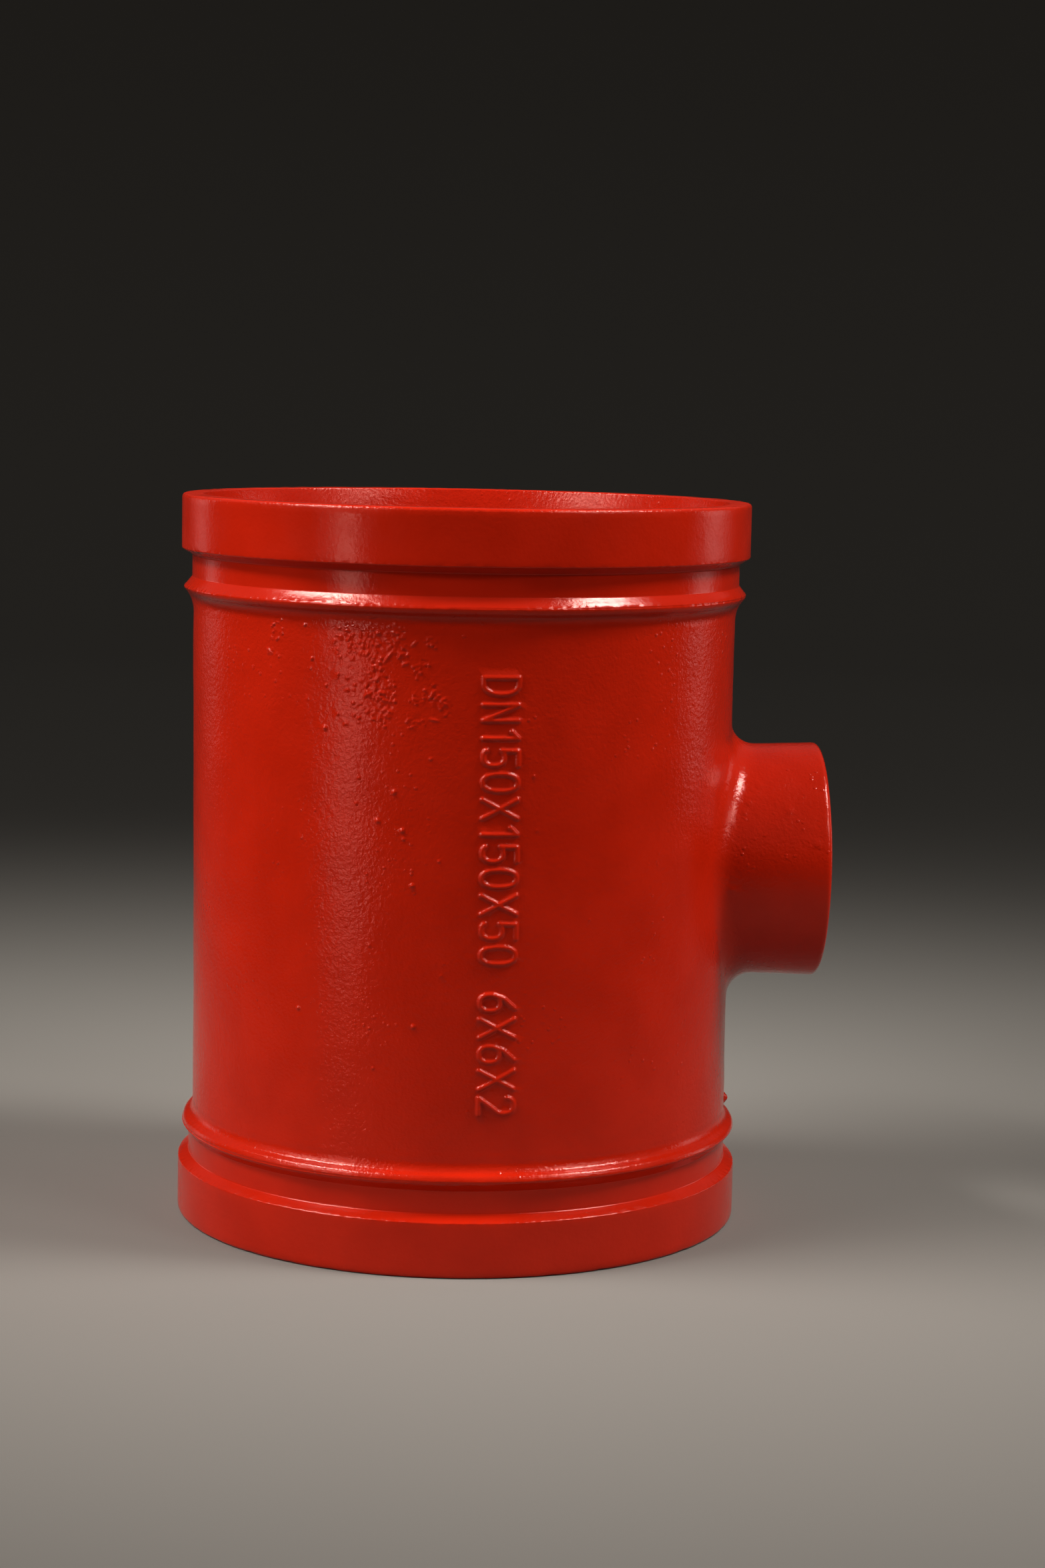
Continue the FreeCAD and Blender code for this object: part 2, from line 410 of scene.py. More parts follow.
def around_outlet(reach, radius, turns):
    """A ring about the outlet's axis; reach and radius may change around it."""
    reach = np.broadcast_to(reach, turns.shape)
    return np.stack([reach, radius * np.cos(turns), MIDDLE + radius * np.sin(turns)], axis=1)


def outlet_radius(reach):
    return OUTLET - (REACH - reach) * OUTLET_FLARE


def passage_radius(reach):
    return np.full_like(reach, PASSAGE)


def rolled(run_radius, radius_at, rounding, steps, turns):
    """Rings of the sweep that a ball leaves as it rolls round the outlet against the run."""
    side = np.cos(turns)
    reach = np.full(turns.shape, run_radius)
    for _ in range(ROLL_TRIES):
        away = radius_at(reach) + rounding
        reach = np.sqrt((run_radius + rounding) ** 2 - (away * side) ** 2)
    centre = np.stack([reach, away * side, away * np.sin(turns)], axis=1)
    shrink = run_radius / (run_radius + rounding)
    to_run = centre * (shrink, shrink, 1) - centre
    inward = (away - rounding) / away
    to_outlet = centre * np.stack([np.ones_like(inward), inward, inward], axis=1) - centre
    turn = np.arccos((to_run * to_outlet).sum(1) / rounding ** 2)[:, None]
    rings = []
    for step in range(steps + 1):
        share = step / steps
        blend = to_run * np.sin((1 - share) * turn) + to_outlet * np.sin(share * turn)
        rings.append(centre + blend / np.sin(turn) + (0, 0, MIDDLE))
    return rings, reach


def thread_radius(reach):
    """The internal thread, opened out by the countersink at its mouth."""
    depth = REACH - reach
    phase = depth / PITCH + BORE_TURNS / (2 * math.pi)
    ramp = 2 * np.abs(phase - np.floor(phase) - 0.5)
    cut = CORE - depth * TAPER + THREAD_HEIGHT * smooth(ramp)
    runout = np.clip((reach - CORE_START) / PITCH, 0, 1)
    cut = CORE + (cut - CORE) * runout
    return np.maximum(cut, SINK - depth)


def outlet_outside(skin):
    """The outlet from its root on the body to the middle of its end face."""
    before_edge, fade_start, fade_length = 0.7, 0.7, 0.3
    root, root_reach = rolled(BODY, outlet_radius, OUTLET_FILLET, FILLET_STEPS, TURNS)
    rings = [(points, 1.0) for points in root]
    edge_start = REACH - OUTLET_EDGE - before_edge
    for row in range(1, OUTLET_ROWS + 1):
        share = row / OUTLET_ROWS
        reach = root_reach + (edge_start - root_reach) * share
        cast = 1 - (1 - RIM_CAST) * float(smooth((share - fade_start) / fade_length))
        rings.append((around_outlet(reach, outlet_radius(reach), TURNS), cast))
    edge = softened([
        (outlet_radius(edge_start), edge_start, 0),
        (OUTLET, REACH, OUTLET_EDGE),
        (OUTLET_RIM, REACH, 0),
    ], RIM_SPACING, steps=6)
    rings.extend((around_outlet(reach, radius, TURNS), RIM_CAST) for radius, reach in edge[1:])
    return [skin.add(points, cast) for points, cast in rings]


def outlet_inside(skin):
    """The outlet from the middle of its end face down its bore to the waterway."""
    on_face, into_sink = 0.9, 0.4
    port, port_reach = rolled(BORE, passage_radius, PASSAGE_EDGE, PORT_STEPS, BORE_TURNS)
    mouth = softened([
        (SINK + on_face, REACH, 0),
        (SINK, REACH, SINK_EDGE),
        (SINK - into_sink, REACH - into_sink, 0),
    ], RIM_SPACING)
    rings = [(around_outlet(reach, radius, BORE_TURNS), RIM_CAST) for radius, reach in mouth]
    thread_start = mouth[-1][1]
    for row in range(1, THREAD_ROWS + 1):
        reach = thread_start + (CORE_START - thread_start) * row / THREAD_ROWS
        rings.append((around_outlet(reach, thread_radius(reach), BORE_TURNS), 0.0))
    passage_start = CORE_START - (CORE - PASSAGE)
    rings.append((around_outlet(passage_start, PASSAGE, BORE_TURNS), PASSAGE_CAST))
    halfway = (passage_start + port_reach) / 2
    rings.append((around_outlet(halfway, PASSAGE, BORE_TURNS), DEEPER_CAST))
    rings.extend((points, BORE_CAST) for points in reversed(port))
    return [skin.add(points, cast) for points, cast in rings]


def outlet_skin(skin):
    """The whole outlet; gives the loops where it meets the body and the waterway."""
    outside = outlet_outside(skin)
    inside = outlet_inside(skin)
    for rings in (outside, inside):
        for ring, following in zip(rings, rings[1:]):
            skin.bridge(ring, following)
    skin.join_halved(outside[-1], inside[0])
    return outside[0], inside[-1]


# Small relief: raised characters and the casting's lumps

CAP = 10.4  # height of the raised characters
SPAN = 1.12 * CAP  # their width is drawn to this
LINE_TOP = 165.5  # where the line of characters starts
LINE_FOOT = 1.6  # from the facing bearing to the characters' feet, around the body
STROKE = 0.34  # half of a stroke's flat width
STROKE_FLANK = 0.48
STROKE_RISE = 0.80
STROKE_WEAR = (0.3, 12, 6)  # as SKIN_WAVES below, as a share of the rise
SQUARENESS = 0.85  # of the round characters; at one they are true ovals
PEN_STEP = 0.108  # between one character and the next, as a share of SPAN
NOMINAL_SIZES = "DN150X150X50 6X6X2"


def oval(centre, size, start=0.0, end=360.0, count=22):
    """Part of a slightly squared oval, as a stroke."""
    stroke = []
    for step in range(count + 1):
        turn = math.radians(start + (end - start) * step / count)
        across = math.copysign(abs(math.cos(turn)) ** SQUARENESS, math.cos(turn))
        up = math.copysign(abs(math.sin(turn)) ** SQUARENESS, math.sin(turn))
        stroke.append((centre[0] + size[0] * across, centre[1] + size[1] * up))
    return stroke


# Strokes of plain narrow characters one unit tall, and each one's width.
GLYPHS = {
    "0": ([oval((0.24, 0.5), (0.20, 0.46))], 0.50),
    "1": ([[(0.06, 0.78), (0.22, 0.96), (0.22, 0.04)]], 0.32),
    "2": ([
        oval((0.23, 0.70), (0.19, 0.26), start=165, end=-35) + [(0.05, 0.04), (0.44, 0.04)],
    ], 0.48),
    "5": ([
        [(0.42, 0.96), (0.09, 0.96), (0.07, 0.56)],
        oval((0.22, 0.33), (0.20, 0.28), start=138, end=-138),
    ], 0.47),
    "6": ([
        [(0.38, 0.96), (0.14, 0.66)] + oval((0.24, 0.31), (0.19, 0.27), start=165, end=525),
    ], 0.49),
    "D": ([
        [(0.07, 0.04), (0.07, 0.96)]
        + oval((0.18, 0.5), (0.27, 0.46), start=90, end=-90)
        + [(0.07, 0.04)],
    ], 0.52),
    "N": ([[(0.07, 0.04), (0.07, 0.96), (0.43, 0.04), (0.43, 0.96)]], 0.52),
    "X": ([[(0.03, 0.96), (0.47, 0.04)], [(0.03, 0.04), (0.47, 0.96)]], 0.52),
    " ": ([], 0.40),
}


def character_segments():
    """The strokes as straight bits on the unrolled body: reading down, with tops to the right."""
    bits = []
    pen = LINE_TOP
    foot = around_at(0) + LINE_FOOT
    for sign in NOMINAL_SIZES:
        strokes, width = GLYPHS[sign]
        for stroke in strokes:
            places = [(foot + up * CAP, pen - across * SPAN) for across, up in stroke]
            bits.extend(zip(places, places[1:]))
        pen -= (width + PEN_STEP) * SPAN
    return np.array(bits)


# Patches of small lumps on the cast body: bearing from the facing one in degrees, height, the
# patch's half width and half height, how many lumps it holds, and their least and greatest radius.
LUMP_PATCHES = (
    (-26.0, 173.5, 5.0, 6.0, 60, 0.28, 0.50),
    (-21.5, 173.0, 3.6, 4.2, 44, 0.32, 0.62),
    (-16.0, 174.5, 3.0, 4.4, 34, 0.32, 0.62),
    (-14.5, 169.5, 1.7, 2.2, 12, 0.40, 0.72),
    (-20.0, 166.5, 2.6, 4.2, 24, 0.32, 0.62),
    (-20.0, 160.5, 3.0, 2.8, 28, 0.34, 0.68),
    (-17.0, 161.0, 1.4, 3.6, 16, 0.30, 0.58),
    (-17.5, 156.5, 2.4, 3.4, 26, 0.30, 0.58),
    (-19.0, 152.5, 2.2, 3.6, 18, 0.28, 0.50),
    (-25.5, 162.0, 4.2, 4.5, 18, 0.28, 0.46),
    (-24.5, 153.5, 5.5, 4.5, 20, 0.28, 0.46),
    (-11.7, 166.0, 1.2, 2.6, 11, 0.30, 0.55),
    (-11.7, 158.5, 2.0, 2.0, 13, 0.32, 0.62),
    (-8.5, 159.5, 2.6, 3.0, 20, 0.30, 0.60),
    (-6.0, 156.5, 1.8, 2.4, 14, 0.32, 0.62),
    (-12.0, 152.0, 3.4, 2.0, 13, 0.30, 0.52),
    (-9.0, 173.5, 2.0, 1.8, 11, 0.34, 0.66),
    (-9.9, 168.0, 1.7, 1.4, 9, 0.32, 0.60),
    (-43.5, 175.5, 3.0, 3.6, 14, 0.32, 0.58),
    (-44.0, 168.5, 3.6, 1.6, 9, 0.30, 0.50),
    (150.0, 150.0, 9.0, 8.0, 12, 0.40, 0.80),
)
# Single lumps: bearing from the facing one, height and radius.
LONE_LUMPS = (
    (-35.8, 177.0, 0.70), (-34.0, 168.0, 0.80), (-34.4, 165.3, 0.55), (-30.7, 161.0, 0.60),
    (-30.9, 149.4, 0.95), (-28.0, 153.4, 0.60), (-35.0, 157.0, 0.45), (-39.5, 157.3, 0.45),
    (-16.0, 133.0, 0.90), (-19.3, 125.0, 0.90), (-14.3, 122.7, 0.95), (-14.0, 120.4, 0.60),
    (-12.2, 107.8, 0.85), (-11.7, 69.0, 0.90), (-36.9, 71.2, 0.80), (-23.9, 129.4, 0.60),
    (-23.3, 136.4, 0.55), (-36.4, 118.6, 0.50), (-8.8, 142.5, 0.60), (-6.9, 114.7, 0.60),
    (-20.8, 90.7, 0.55), (-6.2, 83.4, 0.55), (12.6, 123.2, 0.50), (11.7, 138.0, 0.60),
    (24.0, 98.1, 0.45), (-19.8, 56.8, 0.60), (-19.6, 175.9, 1.10), (62.0, 70.0, 0.80),
    (86.5, 33.4, 2.20),
)
# Low ridges: bearing, height, half length, lean from level in degrees.
RIDGES = (
    (-17.4, 169.6, 3.1, 52.0), (-8.2, 153.0, 1.8, -12.0), (-12.2, 173.4, 1.5, 40.0),
    (-8.6, 160.0, 1.7, 58.0), (-20.7, 180.0, 1.9, 8.0), (-21.8, 159.2, 1.5, 50.0),
    (-45.0, 169.0, 2.0, -38.0),
)
# Lumps on the outlet: turn above the facing side in degrees, reach and radius.
OUTLET_LUMPS = (
    (31.4, 92.8, 1.0), (31.0, 79.9, 0.9), (46.0, 84.6, 0.8), (36.0, 81.6, 0.8), (15.3, 100.6, 0.9),
    (-8.0, 76.5, 1.1), (-20.0, 88.0, 0.9), (-150.0, 90.0, 1.0), (120.0, 85.0, 1.1),
)
# How lumps are scattered, in shares of a lump's stated size where nothing else is said.
LONE_RADIUS, LONE_RISE = 0.85, 0.60
LONE_STRETCH = (1.0, 1.3)  # how much longer than wide
PATCH_STRETCH = (1.0, 1.35)
PATCH_RISE = (0.45, 0.85)
OUTLET_LUMP_RISE = 0.5
PIT_CHANCE, PIT_DEPTH = 0.2, 0.7  # so many of the lumps are pits, this much as deep
RIDGE_RADIUS, RIDGE_RISE = 0.5, 0.35  # millimetres
LUMP_APART = 0.6  # two lumps' middles are this share of both radii apart
LUMP_TRIES = 12  # places tried for a lump that keeps clear of the others
LUMP_WINDOW = 4.0  # millimetres; no lump reaches further from its middle
FINE_MARGIN = 1.1  # millimetres of fine cells around lumps and characters

# Low waves: their height and breadth in millimetres, and a seed, which moves them by these steps.
SEED_STEP = (13.7, 7.1, 3.3)
SKIN_WAVES = ((0.16, 24, 1), (0.06, 8, 2))
BEAD_WAVES = (0.12, 9, 3)
EDGE_DENTS = (0.22, 2.6, 5)

# The lower bead and the front of the upper one were cast crisper: a fuller shoulder and a tighter
# hollow. Each has its height, how far past the bead's crest it lies, and its reach to either side.
BEAD_SHOULDER = (0.55, 1.0, 1.5)
BEAD_HOLLOW = (-0.50, 3.4, 3.0)
FRONT_FADE = 0.6  # the upper one is fully crisp where the cosine to the front passes this

# The cast skin sits to one side of the machined ends, by so much at these two heights.
LOW_SHIFT, LOW_HEIGHT = 0.48, 41
HIGH_SHIFT, HIGH_HEIGHT = -0.25, 165
SHIFT_FADE = 12  # millimetres along the outlet, which isn't shifted itself

OUTSIDE = BODY - 2.0  # what lies past this radius is outside the run's wall
GROOVE_TOP = GROOVE + 0.3  # what lies past this radius isn't the groove's floor
OUTLET_MARGIN = 4  # millimetres beyond the outlet's wall, or its fillet, that still count as its own
SWEEP_MARGIN = 4  # millimetres of the bead's sweep that may be finely divided


def dome(distance):
    """The height of a round lump of radius one, running out softly into the surface."""
    return np.clip(1 - distance ** 2, 0, 1) ** 1.5


def leaning(across, up, lean):
    """The same offsets measured along a lump's length and aside from it."""
    along = across * math.cos(lean) + up * math.sin(lean)
    aside = up * math.cos(lean) - across * math.sin(lean)
    return along, aside


class Lumps:
    """Small raised crumbs and a few pits, scattered over the unrolled body."""

    def __init__(self, seed):
        self.chance = random.Random(seed)
        self.rows = []
        for bearing, height, half_width, half_height, count, least, greatest in LUMP_PATCHES:
            for _ in range(count):
                self.scatter(around_at(bearing), height, half_width, half_height, least, greatest)
        for bearing, height, size in LONE_LUMPS:
            stretch = self.chance.uniform(*LONE_STRETCH)
            self.add(around_at(bearing), height, LONE_RADIUS * size, LONE_RISE * size, stretch)
        for bearing, height, half_length, lean in RIDGES:
            around, turn, stretch = around_at(bearing), math.radians(lean), half_length / RIDGE_RADIUS
            self.rows.append((around, height, RIDGE_RADIUS, RIDGE_RISE, turn, stretch))

    def add(self, around, height, size, rise, stretch):
        self.rows.append((around, height, size, rise, self.chance.uniform(0, math.pi), stretch))

    def scatter(self, around, height, half_width, half_height, least, greatest):
        """One lump of a patch; places near its middle and small sizes are the likeliest."""
        inwards, small = 0.6, 1.5
        chance = self.chance
        for _ in range(LUMP_TRIES):
            turn = chance.uniform(0, 2 * math.pi)
            away = chance.random() ** inwards
            across = around + half_width * away * math.cos(turn)
            up = height + half_height * away * math.sin(turn)
            size = least + (greatest - least) * chance.random() ** small
            if self.is_clear(across, up, size):
                break
        rise = size * chance.uniform(*PATCH_RISE)
        if chance.random() < PIT_CHANCE:
            rise = -PIT_DEPTH * rise
        self.add(across, up, size, rise, chance.uniform(*PATCH_STRETCH))

    def is_clear(self, across, up, size):
        return all(
            math.hypot(across - row[0], up - row[1]) > LUMP_APART * (size + row[2])
            for row in self.rows
        )

    def relief(self, around, height):
        """How high the lumps stand at each place on the unrolled body."""
        total = np.zeros(len(around))
        for centre, level, size, rise, lean, stretch in self.rows:
            across, up = around - centre, height - level
            close = np.flatnonzero((np.abs(across) < LUMP_WINDOW) & (np.abs(up) < LUMP_WINDOW))
            along, aside = leaning(across[close], up[close], lean)
            total[close] += rise * dome(np.hypot(along / stretch, aside) / size)
        return total

    def near(self, around, height, margin):
        """Which places lie within a margin of a lump."""
        found = np.zeros(len(around), bool)
        for centre, level, size, _, lean, stretch in self.rows:
            along, aside = leaning(around - centre, height - level, lean)
            beyond = np.maximum(np.abs(along) - size * (stretch - 1), 0)
            found |= np.hypot(beyond, aside) < size + margin
        return found


def outlet_lumps(points):
    """The relief of the outlet's own lumps."""
    turn = np.degrees(np.arctan2(points[:, 2] - MIDDLE, -points[:, 1]))
    total = np.zeros(len(points))
    for bearing, reach, size in OUTLET_LUMPS:
        apart = np.radians((turn - bearing + 180) % 360 - 180) * OUTLET
        total += OUTLET_LUMP_RISE * size * dome(np.hypot(apart, points[:, 0] - reach) / size)
    return total


def distance_to_bits(around, height, bits):
    """How far each place on the unrolled body lies from the nearest stroke."""
    nearest = np.full(len(around), np.inf)
    for (x0, y0), (x1, y1) in bits:
        run, rise = x1 - x0, y1 - y0
        share = ((around - x0) * run + (height - y0) * rise) / (run * run + rise * rise)
        share = np.clip(share, 0, 1)
        gap = np.hypot(around - x0 - share * run, height - y0 - share * rise)
        nearest = np.minimum(nearest, gap)
    return nearest


def ripple(points, size, seed):
    """Smooth noise whose bumps are about so many millimetres across."""
    shift = Vector([seed * step for step in SEED_STEP])
    return np.array([noise.noise(Vector(point) / size + shift) for point in points])


def waves(points, kind):
    height, breadth, seed = kind
    return height * ripple(points, breadth, seed)


def from_seam(turn):
    """The same turn, counted so that the unrolled body has no break at its front."""
    return np.where(turn > SEAM, turn - 2 * math.pi, turn)


def unrolled(points):
    around = from_seam(np.arctan2(points[:, 1], points[:, 0]))
    return around * BODY, points[:, 2]


def fine_cells(grid, bits, lumps):
    """The cells of the body that lie under a character or a lump."""
    columns, rows = np.meshgrid(np.arange(grid.columns), np.arange(grid.rows))
    columns, rows = columns.ravel(), rows.ravel()
    heights = (grid.profile[rows, 1] + grid.profile[rows + 1, 1]) / 2
    around = from_seam((columns + 0.5) * 2 * math.pi / grid.columns) * BODY
    marked = lumps.near(around, heights, FINE_MARGIN)
    marked |= distance_to_bits(around, heights, bits) < STROKE + STROKE_FLANK + FINE_MARGIN
    marked &= from_nearest_end(heights) > SWEEP_END - SWEEP_MARGIN
    return {(int(column), int(row)) for column, row in zip(columns[marked], rows[marked])}


def swell(place, middle, reach):
    """A soft rise to one at the middle, from nothing at its reach to either side."""
    return np.clip(1 - ((place - middle) / reach) ** 2, 0, 1) ** 2


def shape_beads(push, points):
    """The beads' own waves, and the crisper shoulder and hollow of some of their length."""
    height, radius = points[:, 2], np.hypot(points[:, 0], points[:, 1])
    from_end = from_nearest_end(height)
    half_width = 3
    on_bead = smooth(1 - np.abs(from_end - (GROOVE_END + BEAD_END) / 2) / half_width)
    push += on_bead * (radius > GROOVE_TOP) * waves(points, BEAD_WAVES)
    towards_front = smooth(-points[:, 1] / radius / FRONT_FADE)
    crispness = np.where(height < MIDDLE, 1.0, towards_front) * (radius > OUTSIDE)
    for rise, past_crest, reach in (BEAD_SHOULDER, BEAD_HOLLOW):
        push += crispness * rise * swell(from_end, BEAD_END + past_crest, reach)


def dent_band_edges(push, points):
    """Small dents along the outer edges of the bands."""
    width, depth = 1.6, 1.2
    on_edge = smooth(1 - from_nearest_end(points[:, 2]) / width)
    on_edge = on_edge * (np.hypot(points[:, 0], points[:, 1]) > BAND - depth)
    push += on_edge * np.minimum(0, waves(points, EDGE_DENTS))


def outlet_and_body(points, cast):
    """Which points are the outlet's outside, and which are the body's, clear of the outlet."""
    into_body, over_bore, before_outlet = 6, 3, 60
    from_outlet = np.hypot(points[:, 1], points[:, 2] - MIDDLE)
    on_outlet = (points[:, 0] > BODY - into_body) & (from_outlet > CORE + over_bore)
    on_outlet &= from_outlet < OUTLET + OUTLET_MARGIN
    clear = from_outlet > OUTLET + OUTLET_FILLET + OUTLET_MARGIN
    clear |= points[:, 0] < before_outlet
    on_body = (cast == 1.0) & (np.hypot(points[:, 0], points[:, 1]) > OUTSIDE) & clear
    return on_outlet, on_body


def raise_marks(push, points, cast, bits, lumps):
    """The lumps of the outlet, and the lumps and characters of the body."""
    on_outlet, on_body = outlet_and_body(points, cast)
    push[on_outlet] += outlet_lumps(points[on_outlet])
    around, level = unrolled(points[on_body])
    push[on_body] += lumps.relief(around, level)
    gap = distance_to_bits(around, level, bits)
    wear = 1 - STROKE_WEAR[0] / 2 + waves(points[on_body], STROKE_WEAR)
    push[on_body] += STROKE_RISE * wear * smooth(1 - (gap - STROKE) / STROKE_FLANK)


def relief(points, cast, bits, lumps):
    """How far each point is pushed out along its normal."""
    push = cast * sum(waves(points, kind) for kind in SKIN_WAVES)
    shape_beads(push, points)
    dent_band_edges(push, points)
    raise_marks(push, points, cast, bits, lumps)
    return push


def casting_shift(points, cast):
    """The cast skin sits slightly off the machined ends: to one side below, to the other above."""
    share = np.clip((points[:, 2] - LOW_HEIGHT) / (HIGH_HEIGHT - LOW_HEIGHT), 0, 1)
    beside_outlet = 1 - smooth((points[:, 0] - BODY) / SHIFT_FADE)
    aside = (LOW_SHIFT + (HIGH_SHIFT - LOW_SHIFT) * share) * smooth(cast) * beside_outlet
    return np.stack([aside, 0 * aside, 0 * aside], axis=1)


def cast_outside(height):
    """The machined bands and grooves are smooth, and the rest is as cast."""
    return float(smooth((from_nearest_end(height) - GROOVE_END + CAST_BLEND / 2) / CAST_BLEND))


def cast_inside(height):
    deeper = float(smooth(from_nearest_end(height) / MOUTH_DEPTH))
    return MOUTH_CAST + (BORE_CAST - MOUTH_CAST) * deeper


def tee_points_and_faces():
    skin = Skin()
    bits = character_segments()
    lumps = Lumps(seed=7)
    outside = Turned(skin, run_profile(), COLUMNS, cast_outside)
    inside = Turned(skin, waterway_profile(), COLUMNS // 2, cast_inside)
    hole, loop, spare = outside.hole_cells(HOLE_COLUMNS, HOLE_REACH)
    port_hole, port_loop, port_spare = inside.hole_cells(HOLE_COLUMNS // 2, PORT_REACH)
    outside.fill(hole, fine_cells(outside, bits, lumps))
    inside.fill(port_hole, set())
    for row in (0, -1):
        wide = outside.ring(row % (outside.rows + 1))
        narrow = inside.ring(row % (inside.rows + 1))
        skin.join_halved(wide, narrow)
    root, port = outlet_skin(skin)
    stitched(skin, outside, loop, spare, root, BODY, 1.0)
    stitched(skin, inside, port_loop, port_spare, port, BORE, BORE_CAST)
    return skin, bits, lumps


def tee_mesh():
    skin, bits, lumps = tee_points_and_faces()
    points, cast = np.array(skin.points), np.array(skin.cast)
    mesh = bpy.data.meshes.new("tee_body_skin")
    mesh.from_pydata([Vector(point) for point in points], [], skin.faces)
    work = bmesh.new()
    work.from_mesh(mesh)
    bmesh.ops.recalc_face_normals(work, faces=work.faces)
    work.to_mesh(mesh)
    work.free()
    normals = np.zeros(len(points) * 3, np.float32)
    mesh.vertex_normals.foreach_get("vector", normals)
    normals = normals.reshape(-1, 3)
    push = relief(points, cast, bits, lumps)
    moved = points + normals * push[:, None] + casting_shift(points, cast)
    moved[:, 2] = np.clip(moved[:, 2], 0, RUN)
    mesh.vertices.foreach_set("co", (moved * MM).astype(np.float32).ravel())
    mesh.shade_smooth()
    mesh.update()
    return mesh


# The finish

ENAMEL_IOR = 1.44
ENAMEL_REFLECTION = (1.0, 0.68, 0.58, 1)
DEEP_RED, LIGHT_RED = (0.49, 0.0160, 0.0026, 1), (0.54, 0.0185, 0.0034, 1)
GLOSSIEST, DULLEST = 0.12, 0.20  # the enamel's roughness on the casting
BAND_DULLNESS = 1.3  # the bands are rougher by this factor


class Nodes:
    """Adds nodes to one material; what they measure is in metres on the object."""

    def __init__(self, tree):
        self.tree = tree
        self.place = self.add("ShaderNodeTexCoord").outputs["Object"]

    def add(self, kind, **settings):
        made = self.tree.nodes.new(kind)
        for name, value in settings.items():
            setattr(made, name, value)
        return made

    def feed(self, socket, source):
        """Links another node's output to a socket, or sets the socket to a plain number."""
        if isinstance(source, bpy.types.NodeSocket):
            self.tree.links.new(source, socket)
        else:
            socket.default_value = source

    def maths(self, operation, first, second=0.0):
        made = self.add("ShaderNodeMath", operation=operation)
        self.feed(made.inputs[0], first)
        self.feed(made.inputs[1], second)
        return made.outputs["Value"]

    def speckle(self, scale, detail=2.0, roughness=0.5):
        """Soft noise."""
        made = self.add("ShaderNodeTexNoise")
        made.inputs["Scale"].default_value = scale
        made.inputs["Detail"].default_value = detail
        made.inputs["Roughness"].default_value = roughness
        self.feed(made.inputs["Vector"], self.place)
        return made.outputs["Fac"]

    def dots(self, scale, full, none):
        """Round dots, one out to the first distance from their middles and nought past the second."""
        made = self.add("ShaderNodeTexVoronoi")
        made.inputs["Scale"].default_value = scale
        self.feed(made.inputs["Vector"], self.place)
        return self.ranged(made.outputs["Distance"], full, none, 1.0, 0.0)

    def ranged(self, source, from_low, from_high, to_low, to_high):
        made = self.add("ShaderNodeMapRange")
        made.inputs["From Min"].default_value = from_low
        made.inputs["From Max"].default_value = from_high
        made.inputs["To Min"].default_value = to_low
        made.inputs["To Max"].default_value = to_high
        self.feed(made.inputs["Value"], source)
        return made.outputs["Result"]

    def raised(self, height, millimetres, strength, under=None):
        """A bump so many millimetres high, on top of the one under it."""
        made = self.add("ShaderNodeBump")
        made.inputs["Distance"].default_value = millimetres * MM
        self.feed(made.inputs["Height"], height)
        self.feed(made.inputs["Strength"], strength)
        if under is not None:
            self.feed(made.inputs["Normal"], under)
        return made.outputs["Normal"]


def distance_from_middle(nodes):
    """How far a place lies above or below the middle of the run."""
    split = nodes.add("ShaderNodeSeparateXYZ")
    nodes.feed(split.inputs["Vector"], nodes.place)
    return nodes.maths("ABSOLUTE", nodes.maths("SUBTRACT", split.outputs["Z"], MIDDLE * MM))


def distance_from_axis(nodes):
    flattened = nodes.add("ShaderNodeVectorMath", operation="MULTIPLY")
    flattened.inputs[1].default_value = (1, 1, 0)
    nodes.feed(flattened.inputs[0], nodes.place)
    length = nodes.add("ShaderNodeVectorMath", operation="LENGTH")
    nodes.feed(length.inputs[0], flattened.outputs["Vector"])
    return length.outputs["Value"]


def cast_share(nodes, from_middle):
    """One between the beads and inside the waterway, where the skin is as cast, and else nought."""
    past_crest, wall_end, wall_fade = 1.0, MOUTH + 0.6, MOUTH + 1.2
    crest = (MIDDLE - BEAD_END - past_crest) * MM
    between_beads = nodes.ranged(from_middle, crest, crest + MM, 1.0, 0.0)
    inside = nodes.ranged(distance_from_axis(nodes), wall_end * MM, wall_fade * MM, 1.0, 0.0)
    return nodes.maths("MAXIMUM", between_beads, inside)


def ring_share(nodes, from_middle, from_end):
    """One along a narrow ring at a distance from each end of the run, and nought beside it."""
    full, none = 0.3 * MM, 0.9 * MM
    spot = (MIDDLE - from_end) * MM
    below = nodes.ranged(from_middle, spot - none, spot - full, 0.0, 1.0)
    above = nodes.ranged(from_middle, spot + full, spot + none, 1.0, 0.0)
    return nodes.maths("MULTIPLY", below, above)


def enamel_colour(nodes):
    colour = nodes.add("ShaderNodeValToRGB")
    deep, light = colour.color_ramp.elements
    deep.position, deep.color = 0.35, DEEP_RED
    light.position, light.color = 0.65, LIGHT_RED
    nodes.feed(colour.inputs["Fac"], nodes.speckle(60.0, detail=4.0))
    return colour.outputs["Color"]


def enamel_roughness(nodes, from_middle):
    gloss = nodes.ranged(nodes.speckle(110.0, detail=4.0), 0.3, 0.7, GLOSSIEST, DULLEST)
    groove_start, band_start = (MIDDLE - FLOOR_END) * MM, (MIDDLE - BAND_WIDTH) * MM
    duller = nodes.ranged(from_middle, groove_start, band_start, 1.0, BAND_DULLNESS)
    return nodes.maths("MULTIPLY", gloss, duller)


